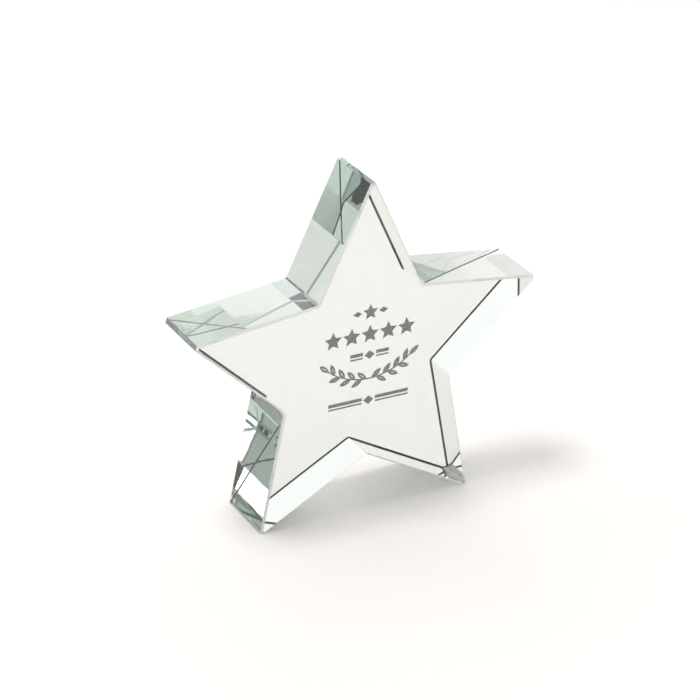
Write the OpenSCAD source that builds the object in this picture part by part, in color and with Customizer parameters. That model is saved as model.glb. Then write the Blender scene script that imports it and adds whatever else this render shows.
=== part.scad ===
// Star trophy: one upright slab of clear optical glass cut to a five-pointed star that
// stands on the ground flats of its two lower points. A generic award decoration is
// engraved into the front face and filled with grey enamel.
// Frame: X to the viewer's right, front face towards -Y, Z up from the surface it rests on.

/* [Star] */
// Radius of the circle through the five sharp points, before they are blunted
point_circle_r = 56.6; // [50:0.1:64]
// Radius of the circle through the five inner corners
notch_circle_r = 27.35; // [25:0.05:30]
// Thickness of the glass slab
slab_thickness = 20; // [14:0.5:30]

/* [Ground edges] */
// Leg of the 45 degree chamfer around the front and back faces
arris = 0.6; // [0.3:0.05:1]
// Length ground off each of the three upper points
tip_cut = 1.7; // [1.5:0.1:2.5]
// Height ground off each of the two lower points to make the feet
foot_cut = 1; // [0.8:0.1:1.6]
// Radius that the grinding wheel leaves in the inner corners
notch_fillet_r = 1; // [0.5:0.1:1.5]

/* [Engraving] */
// Depth of the engraved pockets
engraving_depth = 0.3; // [0.2:0.05:0.6]
// How far the enamel lies below the glass surface
enamel_recess = 0.05; // [0.02:0.01:0.1]

/* [Laurel] */
// Radius of the curved stem
stem_r = 19.6; // [18:0.1:22]
// Lowest point of the stem, below the star's centre
stem_drop = 3.3; // [2:0.1:4]
// Angle that each half of the stem turns through
stem_sweep = 41; // [38:1:42]
// Width of the stem
stem_w = 0.36; // [0.3:0.02:0.5]
// Length of a leaf
leaf_length = 3.7; // [3:0.1:4.2]
// Width of a leaf
leaf_w = 1.45; // [1:0.05:1.6]
// Width of the clear vein left standing in each leaf
vein_w = 0.24; // [0.16:0.02:0.3]
// Angle between a side leaf and the stem
leaf_angle = 38; // [32:1:44]

/* [Stars and rules] */
// Height of the crest above the star's centre
crest_z = 17; // [16.5:0.1:18]
// Point circle radius of the crest's star
crest_star_r = 2.4; // [1.8:0.1:2.6]
// Height of the row of stars above the star's centre
star_row_z = 10.3; // [9.8:0.1:11]
// Point circle radius of a star in the row
row_star_r = 2.75; // [2:0.05:2.8]
// Distance between neighbouring stars in the row
star_row_pitch = 5.7; // [5.6:0.1:6]
// Height of the short rule above the star's centre
short_rule_z = 4; // [3.5:0.1:4.5]
// Overall length of the short rule
short_rule_length = 12; // [10:0.5:13]
// Depth of the long rule below the star's centre
long_rule_drop = 10; // [9.5:0.1:11]
// Overall length of the long rule
long_rule_length = 25; // [20:0.5:27]
// Width of the heavy line of a rule
heavy_line_w = 1; // [0.6:0.05:1.2]
// Width of the fine line of a rule
fine_line_w = 0.44; // [0.3:0.02:0.5]

/* [Hidden] */
$fn = 64;

GLASS = [0.84, 0.92, 0.88, 0.6];
ENAMEL = [0.53, 0.51, 0.48];

POINTS = 5;
STEP = 360 / POINTS;
FOOT_ARMS = [2, 3];
ROW_STARS = 5;
UPPER_LEAVES = 4;
LOWER_LEAVES = 3;

// The sharp lower points would lie foot_cut below the surface that the feet rest on.
centre_z = point_circle_r * cos(STEP / 2) - foot_cut;
// The round of an inner corner and its chamfers cut this far past the walls and theirs.
fillet_bite = 0.05;
// The chamfers at the ends of the ground flats are a little smaller.
flat_arris = 0.8 * arris;
// Half of the open angle between the two walls of an inner corner
notch_half_angle = acos(unit(notch(0)) * unit(sharp_point(0) - notch(0)));

// Directions are measured clockwise from straight up, as seen from the front.
function polar(r, angle) = [r * sin(angle), r * cos(angle)];
function unit(v) = v / norm(v);
function sharp_point(i) = polar(point_circle_r, i * STEP);
function notch(i) = polar(notch_circle_r, (i + 0.5) * STEP);

// An upper point is ground square to its arm, and a foot is ground level.
function is_foot(i) = len([for (f = FOOT_ARMS) if (f == i) f]) > 0;
function grinding_direction(i) = is_foot(i) ? [0, 1] : -unit(sharp_point(i));
function grinding_depth(i) = is_foot(i) ? foot_cut : tip_cut;

// The corner where the flat on point i meets the wall that runs to the given inner corner
function flat_corner(i, corner) =
    let (wall = unit(corner - sharp_point(i)))
    sharp_point(i) + wall * grinding_depth(i) / (wall * grinding_direction(i));

// The round of the inner corner after point i: its centre, which lies in the air, and the
// spots on the walls that are nearest to it.
function fillet_centre(i) =
    polar(notch_circle_r + notch_fillet_r / sin(notch_half_angle), (i + 0.5) * STEP);
function fillet_start(i) = fillet_spot(i, 90 + notch_half_angle);
function fillet_end(i) = fillet_spot(i, -90 - notch_half_angle);
function fillet_spot(i, turn) = fillet_centre(i) + polar(notch_fillet_r, (i + 0.5) * STEP - turn);

// One fifth of the glass's outline, clockwise. Each inner corner is filled up to the centre
// of its round, which a cutter then removes.
function outline_fifth(i) =
    [flat_corner(i, notch(i - 1)), flat_corner(i, notch(i)), fillet_start(i), fillet_centre(i), fillet_end(i)];

// Cuts front and back chamfers of the given leg along the edge from p to q, with the glass
// on its right, running on past its ends by the given lengths.
module arris_cutters(leg, p, q, before, after) {
    bar_w = 2 * leg;
    along = q - p;
    for (side = [0, 1]) mirror([0, 0, side])
        translate([p.x, p.y, slab_thickness / 2])
            rotate([45, 0, atan2(along.y, along.x)])
                translate([-before, -leg * sqrt(0.5), -bar_w / 2])
                    cube([before + norm(along) + after, bar_w, bar_w]);
}

// Cuts the round of one inner corner, with its chamfers as cones.
module fillet_cutter(centre) translate([centre.x, centre.y, 0]) {
    r = notch_fillet_r + fillet_bite;
    leg = arris + fillet_bite;
    cylinder(h = slab_thickness, r = r, center = true);
    for (side = [0, 1]) mirror([0, 0, side])
        translate([0, 0, slab_thickness / 2 - leg])
            cylinder(h = 2 * leg, r1 = r, r2 = r + 2 * leg);
}

module star_blank() {
    overrun = 4 * arris;
    difference() {
        linear_extrude(height = slab_thickness, center = true)
            polygon([for (i = [0:POINTS - 1]) each outline_fifth(i)]);
        for (i = [0:POINTS - 1]) {
            edge = outline_fifth(i);
            arris_cutters(arris, fillet_end(i - 1), edge[0], 0, overrun);
            arris_cutters(flat_arris, edge[0], edge[1], overrun, overrun);
            arris_cutters(arris, edge[1], edge[2], overrun, 0);
            fillet_cutter(fillet_centre(i));
        }
    }
}

// A small star in the proportions of the trophy itself
module star_2d(r)
    polygon([for (i = [0:2 * POINTS - 1])
        polar(i % 2 == 0 ? r : r * notch_circle_r / point_circle_r, i * STEP / 2)]);

module lozenge_2d(length, width)
    polygon([[-length / 2, 0], [0, width / 2], [length / 2, 0], [0, -width / 2]]);

// A star between two lozenges
module crest_2d() translate([0, crest_z]) {
    lozenge_l = 2.8;
    gap = 0.2;
    star_2d(crest_star_r);
    for (side = [-1, 1]) translate([side * (crest_star_r + gap + lozenge_l / 2), 0])
        lozenge_2d(lozenge_l, 1.7);
}

module star_row_2d()
    for (k = [0:ROW_STARS - 1])
        translate([(k - (ROW_STARS - 1) / 2) * star_row_pitch, star_row_z]) star_2d(row_star_r);

// A lozenge between two pairs of lines, a heavy line over a fine one
module rule_2d(length) {
    lozenge_l = 3.2;
    gap = 0.5;
    line_l = length / 2 - lozenge_l / 2 - gap;
    lozenge_2d(lozenge_l, 2.6);
    for (side = [0, 1]) mirror([side, 0]) translate([lozenge_l / 2 + gap, 0]) {
        square([line_l, heavy_line_w]);
        translate([0, -gap - fine_line_w]) square([line_l, fine_line_w]);
    }
}

// A leaf from the origin along +X: two arcs that meet in points, with a clear vein
module leaf_2d() {
    arc_r = (leaf_length * leaf_length + leaf_w * leaf_w) / (4 * leaf_w);
    difference() {
        intersection_for (side = [-1, 1])
            translate([leaf_length / 2, side * (arc_r - leaf_w / 2)]) circle(r = arc_r);
        translate([leaf_length * 0.46, 0]) lozenge_2d(leaf_length * 0.6, vein_w);
    }
}

// A leaf whose foot is on the stem, this far around it, turned this far away from it
module leaf_at(sweep, turn)
    translate([stem_r * sin(sweep), -stem_r * cos(sweep)]) rotate(sweep + turn) leaf_2d();

// The right half of the laurel, drawn about the centre of the stem's circle
module branch_2d() {
    leaf_step = stem_sweep / UPPER_LEAVES;
    difference() {
        circle(r = stem_r + stem_w / 2);
        circle(r = stem_r - stem_w / 2);
        translate([-2 * stem_r, -2 * stem_r]) square([2 * stem_r, 4 * stem_r]);
        rotate(stem_sweep) translate([0, -2 * stem_r]) square(4 * stem_r);
        translate([-2 * stem_r, 0]) square([4 * stem_r, 2 * stem_r]);
    }
    for (k = [0:UPPER_LEAVES - 1]) leaf_at((k + 0.25) * leaf_step, leaf_angle);
    for (k = [0:LOWER_LEAVES - 1]) leaf_at((k + 0.65) * leaf_step, -leaf_angle);
    leaf_at(stem_sweep - 1, 0);
}

module laurel_2d()
    translate([0, stem_r - stem_drop]) for (side = [0, 1]) mirror([side, 0]) branch_2d();

// Stands a shape drawn in the XY plane upright, with its +Z side towards the front.
module upright() translate([0, 0, centre_z]) rotate([90, 0, 0]) children();

// Cuts a pocket of the given outline into the front face.
module pocket() translate([0, 0, slab_thickness / 2 - engraving_depth])
    linear_extrude(height = 2 * engraving_depth) children();

// Fills a pocket of the given outline with enamel.
module inlay() upright() color(ENAMEL)
    translate([0, 0, slab_thickness / 2 - engraving_depth])
        linear_extrude(height = engraving_depth - enamel_recess) children();

module star_body() upright() color(GLASS) difference() {
    star_blank();
    pocket() crest_2d();
    pocket() star_row_2d();
    pocket() translate([0, short_rule_z]) rule_2d(short_rule_length);
    pocket() laurel_2d();
    pocket() translate([0, -long_rule_drop]) rule_2d(long_rule_length);
}

module crest_inlay() inlay() crest_2d();
module star_row_inlay() inlay() star_row_2d();
module short_rule_inlay() inlay() translate([0, short_rule_z]) rule_2d(short_rule_length);
module laurel_inlay() inlay() laurel_2d();
module long_rule_inlay() inlay() translate([0, -long_rule_drop]) rule_2d(long_rule_length);

star_body();
crest_inlay();
star_row_inlay();
short_rule_inlay();
laurel_inlay();
long_rule_inlay();
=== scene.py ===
import math

import bmesh
import bpy
from mathutils import Matrix, Vector


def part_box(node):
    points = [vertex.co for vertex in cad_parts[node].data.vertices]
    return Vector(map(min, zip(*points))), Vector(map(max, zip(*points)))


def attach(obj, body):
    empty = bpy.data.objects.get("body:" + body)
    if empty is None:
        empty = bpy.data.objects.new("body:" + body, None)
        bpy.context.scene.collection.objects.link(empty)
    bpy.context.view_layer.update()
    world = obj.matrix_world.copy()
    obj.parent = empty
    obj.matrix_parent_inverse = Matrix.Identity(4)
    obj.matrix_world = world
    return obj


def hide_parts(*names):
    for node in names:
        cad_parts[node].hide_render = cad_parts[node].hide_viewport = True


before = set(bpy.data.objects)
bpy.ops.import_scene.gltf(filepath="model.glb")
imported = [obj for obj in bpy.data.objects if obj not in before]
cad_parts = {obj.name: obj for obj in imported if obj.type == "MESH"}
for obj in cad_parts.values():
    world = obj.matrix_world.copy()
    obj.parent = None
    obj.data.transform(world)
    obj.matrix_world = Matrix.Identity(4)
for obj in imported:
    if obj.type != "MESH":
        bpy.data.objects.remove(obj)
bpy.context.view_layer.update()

# The star's proportions, in metres and degrees, as in part.scad, apart from the back arris,
# which is finer here. The star's size comes from the frame.
MM = 0.001
NOTCH_RATIO = 27.35 / 56.6
FRONT_ARRIS = 0.6 * MM
BACK_ARRIS = 0.35 * MM
TIP_CUT = 1.7 * MM
FOOT_CUT = 1.0 * MM
NOTCH_FILLET_R = 1.0 * MM
POINTS = 5
STEP = 360 / POINTS
FOOT_ARMS = (2, 3)
FILLET_FACETS = 14
OUTLINE_POINTS_PER_ARM = 2 + FILLET_FACETS + 1

# The camera stands to the front left of the trophy and looks down on it.
CAMERA_AIM = Vector((-0.0004, 0.0006, 0.0455))
CAMERA_AZIMUTH = -28.7
CAMERA_ELEVATION = 26.8
CAMERA_ROLL = 1.4
CAMERA_DISTANCE = 0.741
CAMERA_LENS_MM = 137
CAMERA_SENSOR_MM = 36

# Which material slot of the glass each band of its edge has.
POLISHED_GLASS, FRONT_BAND, BACK_BAND = range(3)

# Colours and finishes. Noise scales are per metre. The mottled colours are pairs, dark and light.
GLASS_IOR = 1.517
GLASS_TINT = (0.54, 0.74, 0.67, 1)
GLASS_TINT_DENSITY = 8
POLISHED = (0.95, 0.951, 0.945, 1)
POLISH_WAVES = 0.08 * MM
POLISH_WAVES_STRENGTH = 0.3
POLISH_WAVES_SCALE = 50
# The back arris: its roughness is the ground finish, and its dark glass colour is painted shade that
# draws dark lines along the back edges.
GROUND_WITH_PAINTED_SHADE = (0.16, 0.16, 0.16, 1)
GROUND_ROUGHNESS = 0.04
FROSTED = ((0.68, 0.69, 0.67, 1), (0.8, 0.81, 0.79, 1))
FROSTED_SCALE = 1500
FROSTED_ROUGHNESS = 0.3
FROSTED_SEE_THROUGH = 0.5
ENAMEL = ((0.34, 0.32, 0.298, 1), (0.45, 0.425, 0.4, 1))
ENAMEL_SCALE = 900
ENAMEL_ROUGHNESS = 0.6
PALE_FLOOR = (0.93, 0.898, 0.872, 1)
BLACK_CARD = (0.01, 0.011, 0.014, 1)

# The studio: how bright the tent is behind the trophy, in front of it and along its foot all
# round, and how bright it is overhead as a share of the wall below. The first range is of the
# unit direction's Y, and the other two are of its Z.
TENT_BEHIND = 1.24
TENT_FRONT = 0.62
TENT_FOOT = 1.0
TENT_OVERHEAD = 0.75
TENT_FRONT_TO_BEHIND = (0.0, 0.5)
TENT_FOOT_TO_WALL = (0.1, 0.25)
TENT_WALL_TO_OVERHEAD = (0.6, 0.9)
FLOOR_RADIUS = 6
FLOOR_SIDES = 96

# Places are an azimuth and an elevation in degrees, and a distance in metres from this point.
LIGHTS_AIM = Vector((0, 0, 0.045))
KEY_PLACE = (-104, 72, 2.4)
KEY_STRENGTH = 1.24
KEY_ANGLE = 18

# Name, place, size in metres, and for a softbox its radiance.
SOFTBOXES = (
    ("fill", (-60, 37, 1.3), (0.25, 0.25), 2.5),
    ("rim", (165, 35, 1.3), (0.5, 0.3), 1.9),
)
DARK_CARDS = (
    ("camera_card", (-33.5, 19.6, 0.9), (0.1, 0.09)),
    ("left_card", (-43.5, 21, 1.1), (0.1, 0.1)),
    ("high_card", (71, 50.5, 1.2), (0.16, 0.1)),
    ("front_card", (8, 37, 1.1), (0.2, 0.12)),
    ("low_card", (137, -3, 0.55), (0.14, 0.09)),
)

LIGHT_BOUNCES = 24
GLOSSY_BOUNCES = 16


def direction(azimuth, elevation):
    """The unit vector towards a place in the studio, in degrees. Azimuth 0 is in front."""
    a, e = math.radians(azimuth), math.radians(elevation)
    return Vector((math.sin(a) * math.cos(e), -math.cos(a) * math.cos(e), math.sin(e)))


def polar(radius, angle):
    """A point in the star's plane, at an angle clockwise from straight up, seen from the front."""
    a = math.radians(angle)
    return Vector((radius * math.sin(a), radius * math.cos(a)))


class Star:
    """The outline of the glass, worked out from the size of its CAD node."""

    def __init__(self, node):
        low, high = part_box(node)
        self.half_thickness = (high.y - low.y) / 2
        self.point_r = self.point_radius(high.x)
        self.centre_z = self.point_r * math.cos(math.radians(STEP / 2)) - FOOT_CUT
        wall = (self.point(0) - self.notch(0)).normalized()
        self.notch_half_angle = math.degrees(polar(1, STEP / 2).angle(wall))

    @staticmethod
    def point_radius(half_width):
        """Radius of the circle through the sharp points, from the half width over the ground flats."""
        notch, point = polar(NOTCH_RATIO, STEP / 2), polar(1, 0)
        half_tip = (notch - point).angle(-point)
        side = math.radians(STEP)
        lost = TIP_CUT * (math.sin(side) - math.tan(half_tip) * math.cos(side))
        return (half_width + lost) / math.sin(side)

    def point(self, i):
        return polar(self.point_r, i * STEP)

    def notch(self, i):
        return polar(self.point_r * NOTCH_RATIO, (i + 0.5) * STEP)

    def flat_corner(self, i, corner):
        """Where the flat ground on point i meets the wall that runs to an inner corner."""
        wall = (corner - self.point(i)).normalized()
        if i in FOOT_ARMS:
            return self.point(i) + wall * FOOT_CUT / wall.y
        return self.point(i) + wall * TIP_CUT / wall.dot(-self.point(i).normalized())

    def flat(self, i, inset):
        """The two corners of the flat on point i, clockwise, moved into the glass by inset."""
        notches = (self.notch(i - 1), self.notch(i))
        corners = [self.flat_corner(i, notch) for notch in notches]
        along = (corners[1] - corners[0]).normalized()
        moved = []
        for corner, notch, flat in zip(corners, notches, (along, -along)):
            wall = (notch - corner).normalized()
            moved.append(corner + (wall + flat) * inset / math.sin(wall.angle(flat)))
        return moved

    def fillet(self, i, inset):
        """The round of the inner corner after point i, clockwise, moved into the glass by inset."""
        half_angle = math.radians(self.notch_half_angle)
        centre_r = self.point_r * NOTCH_RATIO + NOTCH_FILLET_R / math.sin(half_angle)
        centre = polar(centre_r, (i + 0.5) * STEP)
        start = (i + 0.5) * STEP - 90 - self.notch_half_angle
        sweep = 180 - 2 * self.notch_half_angle
        return [
            centre + polar(NOTCH_FILLET_R + inset, start - sweep * k / FILLET_FACETS)
            for k in range(FILLET_FACETS + 1)
        ]

    def outline(self, inset):
        """The whole outline, clockwise from the top point, moved into the glass by inset."""
        points = []
        for i in range(POINTS):
            points += self.flat(i, inset)
            points += self.fillet(i, inset)
        return points

    def in_fillet(self, k):
        """Whether the stretch of outline after its point k is part of a round."""
        return 2 <= k % OUTLINE_POINTS_PER_ARM < OUTLINE_POINTS_PER_ARM - 1


def glass_mesh(star):
    """The glass as one closed mesh: flat faces, chamfered edges and rounded inner corners."""
    rings = (
        (-star.half_thickness, FRONT_ARRIS),
        (-star.half_thickness + FRONT_ARRIS, 0),
        (star.half_thickness - BACK_ARRIS, 0),
        (star.half_thickness, BACK_ARRIS),
    )
    bm = bmesh.new()
    loops = [
        [bm.verts.new((p.x, y, p.y + star.centre_z)) for p in star.outline(inset)]
        for y, inset in rings
    ]
    count = len(loops[0])
    for finish, near, far in zip((FRONT_BAND, POLISHED_GLASS, BACK_BAND), loops, loops[1:]):
        for k in range(count):
            after = (k + 1) % count
            face = bm.faces.new((near[k], far[k], far[after], near[after]))
            face.smooth = star.in_fillet(k)
            face.material_index = finish
    bm.faces.new(loops[0])
    bm.faces.new(reversed(loops[-1]))
    # The rounds are smooth along the outline only, so the edges between bands stay sharp.
    for loop in loops[1:3]:
        for k in range(count):
            bm.edges.get((loop[k], loop[(k + 1) % count])).smooth = False
    bmesh.ops.recalc_face_normals(bm, faces=bm.faces)
    mesh = bpy.data.meshes.new("star_glass")
    bm.to_mesh(mesh)
    bm.free()
    return mesh


def build_glass(star):
    """The visible piece of glass, with its three finishes in slot order; the back arris is darkened
    with painted shade.
    """
    mesh = glass_mesh(star)
    mesh.materials.append(glass_material("clear_glass", POLISHED, 0))
    mesh.materials.append(frosted_material())
    # The back arris is the clear glass made dark, a painted shade along the back edges.
    mesh.materials.append(glass_material("back_arris", GROUND_WITH_PAINTED_SHADE, GROUND_ROUGHNESS))
    piece = bpy.data.objects.new("star_glass", mesh)
    bpy.context.scene.collection.objects.link(piece)
    return piece


def new_material(name):
    """A material with no shader yet, its node tree and its output node."""
    material = bpy.data.materials.new(name)
    material.use_nodes = True
    tree = material.node_tree
    tree.nodes.clear()
    return material, tree, tree.nodes.new("ShaderNodeOutputMaterial")


def mottle(tree, scale, dark, light):
    """A colour that wanders between two, over patches of about 1 / scale metres."""
    place = tree.nodes.new("ShaderNodeTexCoord")
    noise = tree.nodes.new("ShaderNodeTexNoise")
    noise.inputs["Scale"].default_value = scale
    ramp = tree.nodes.new("ShaderNodeValToRGB")
    ramp.color_ramp.elements[0].color = dark
    ramp.color_ramp.elements[1].color = light
    tree.links.new(place.outputs["Object"], noise.inputs["Vector"])
    tree.links.new(noise.outputs["Fac"], ramp.inputs["Fac"])
    return ramp.outputs["Color"]


def glass_material(name, passed, roughness):
    """Clear glass, slightly green through its whole depth, with faint waves left by the polishing.

    passed is the share of light that its surface lets by.
    """
    material, tree, output = new_material(name)
    shader = tree.nodes.new("ShaderNodeBsdfGlass")
    shader.inputs["Color"].default_value = passed
    shader.inputs["Roughness"].default_value = roughness
    shader.inputs["IOR"].default_value = GLASS_IOR
    place = tree.nodes.new("ShaderNodeTexCoord")
    waves = tree.nodes.new("ShaderNodeTexNoise")
    waves.inputs["Scale"].default_value = POLISH_WAVES_SCALE
    bump = tree.nodes.new("ShaderNodeBump")
    bump.inputs["Strength"].default_value = POLISH_WAVES_STRENGTH
    bump.inputs["Distance"].default_value = POLISH_WAVES
    tree.links.new(place.outputs["Object"], waves.inputs["Vector"])
    tree.links.new(waves.outputs["Fac"], bump.inputs["Height"])
    tree.links.new(bump.outputs["Normal"], shader.inputs["Normal"])
    volume = tree.nodes.new("ShaderNodeVolumeAbsorption")
    volume.inputs["Color"].default_value = GLASS_TINT
    volume.inputs["Density"].default_value = GLASS_TINT_DENSITY
    tree.links.new(shader.outputs[0], output.inputs["Surface"])
    tree.links.new(volume.outputs[0], output.inputs["Volume"])
    return material


def frosted_material():
    """The finely ground front arris: pale, and half see-through."""
    material, tree, output = new_material("front_arris")
    shader = tree.nodes.new("ShaderNodeBsdfPrincipled")
    shader.inputs["Roughness"].default_value = FROSTED_ROUGHNESS
    shader.inputs["IOR"].default_value = GLASS_IOR
    shader.inputs["Transmission Weight"].default_value = FROSTED_SEE_THROUGH
    tree.links.new(mottle(tree, FROSTED_SCALE, *FROSTED), shader.inputs["Base Color"])
    tree.links.new(shader.outputs[0], output.inputs["Surface"])
    return material


def enamel_material():
    """Warm grey enamel, slightly mottled."""
    material, tree, output = new_material("grey_enamel")
    shader = tree.nodes.new("ShaderNodeBsdfPrincipled")
    shader.inputs["Roughness"].default_value = ENAMEL_ROUGHNESS
    tree.links.new(mottle(tree, ENAMEL_SCALE, *ENAMEL), shader.inputs["Base Color"])
    tree.links.new(shader.outputs[0], output.inputs["Surface"])
    return material


def matt_material(name, colour):
    """A plain matt surface, for the floor and the cards of the studio."""
    material, tree, output = new_material(name)
    shader = tree.nodes.new("ShaderNodeBsdfDiffuse")
    shader.inputs["Color"].default_value = colour
    tree.links.new(shader.outputs[0], output.inputs["Surface"])
    return material


def build_floor():
    bpy.ops.mesh.primitive_circle_add(vertices=FLOOR_SIDES, radius=FLOOR_RADIUS, fill_type="NGON")
    floor = bpy.context.object
    floor.name = "floor"
    floor.data.materials.append(matt_material("pale_floor", PALE_FLOOR))


def ease(tree, source, span, start, end):
    """A value that goes from start to end while source goes through span."""
    node = tree.nodes.new("ShaderNodeMapRange")
    node.inputs["From Min"].default_value, node.inputs["From Max"].default_value = span
    for name, value in (("To Min", start), ("To Max", end)):
        if isinstance(value, bpy.types.NodeSocket):
            tree.links.new(value, node.inputs[name])
        else:
            node.inputs[name].default_value = value
    tree.links.new(source, node.inputs["Value"])
    return node.outputs["Result"]


def build_world():
    """A white tent: brightest behind the trophy, and dimmer in front and overhead."""
    world = bpy.data.worlds.new("studio")
    bpy.context.scene.world = world
    world.use_nodes = True
    tree = world.node_tree
    background = tree.nodes["Background"]
    background.inputs["Color"].default_value = (1, 1, 1, 1)
    place = tree.nodes.new("ShaderNodeTexCoord")
    split = tree.nodes.new("ShaderNodeSeparateXYZ")
    tree.links.new(place.outputs["Generated"], split.inputs[0])
    y, z = split.outputs["Y"], split.outputs["Z"]
    wall = ease(tree, y, TENT_FRONT_TO_BEHIND, TENT_FRONT, TENT_BEHIND)
    lower = ease(tree, z, TENT_FOOT_TO_WALL, TENT_FOOT, wall)
    overhead = ease(tree, z, TENT_WALL_TO_OVERHEAD, 1.0, TENT_OVERHEAD)
    both = tree.nodes.new("ShaderNodeMath")
    both.operation = "MULTIPLY"
    tree.links.new(lower, both.inputs[0])
    tree.links.new(overhead, both.inputs[1])
    tree.links.new(both.outputs[0], background.inputs["Strength"])


def face_trophy(thing, azimuth, elevation, distance):
    """Put a light or a card in the studio with its front towards the trophy."""
    back = direction(azimuth, elevation)
    thing.location = LIGHTS_AIM + back * distance
    thing.rotation_mode = "QUATERNION"
    thing.rotation_quaternion = back.to_track_quat("Z", "Y")
    bpy.context.scene.collection.objects.link(thing)


def add_key():
    """A large soft light, high on the left, that falls evenly on the whole floor."""
    data = bpy.data.lights.new("key", "SUN")
    data.energy = KEY_STRENGTH
    data.angle = math.radians(KEY_ANGLE)
    face_trophy(bpy.data.objects.new("key", data), *KEY_PLACE)


def add_softbox(name, place, size, radiance):
    data = bpy.data.lights.new(name, "AREA")
    data.shape = "RECTANGLE"
    data.size, data.size_y = size
    data.energy = radiance * math.pi * size[0] * size[1]
    face_trophy(bpy.data.objects.new(name, data), *place)


def add_dark_card(name, place, size):
    """A matt black card, which the glass shows as dark facets."""
    w, h = (s / 2 for s in size)
    mesh = bpy.data.meshes.new(name)
    mesh.from_pydata([(-w, -h, 0), (w, -h, 0), (w, h, 0), (-w, h, 0)], [], [(0, 1, 2, 3)])
    mesh.materials.append(matt_material("black_card", BLACK_CARD))
    card = bpy.data.objects.new(name, mesh)
    face_trophy(card, *place)


def build_camera():
    data = bpy.data.cameras.new("camera")
    data.lens = CAMERA_LENS_MM
    data.sensor_width = CAMERA_SENSOR_MM
    camera = bpy.data.objects.new("camera", data)
    back = direction(CAMERA_AZIMUTH, CAMERA_ELEVATION)
    roll = Matrix.Rotation(math.radians(CAMERA_ROLL), 4, "Z")
    camera.matrix_world = (
        Matrix.Translation(CAMERA_AIM + back * CAMERA_DISTANCE)
        @ back.to_track_quat("Z", "Y").to_matrix().to_4x4()
        @ roll
    )
    bpy.context.scene.collection.objects.link(camera)
    bpy.context.scene.camera = camera


glass = build_glass(Star("star_body"))
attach(glass, "root")
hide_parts("star_body")

# Light that has been reflected inside the glass passes the enamel by, so the facets don't show it.
enamel = enamel_material()
for name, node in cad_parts.items():
    if name.endswith("_inlay"):
        node.data.materials.clear()
        node.data.materials.append(enamel)
        node.visible_glossy = False

build_floor()
build_world()
add_key()
for softbox in SOFTBOXES:
    add_softbox(*softbox)
for card in DARK_CARDS:
    add_dark_card(*card)
build_camera()

settings = bpy.context.scene.cycles
settings.max_bounces = LIGHT_BOUNCES
settings.transmission_bounces = LIGHT_BOUNCES
settings.glossy_bounces = GLOSSY_BOUNCES
settings.use_denoising = True
settings.denoising_input_passes = "RGB"
bpy.context.scene.view_settings.view_transform = "Standard"
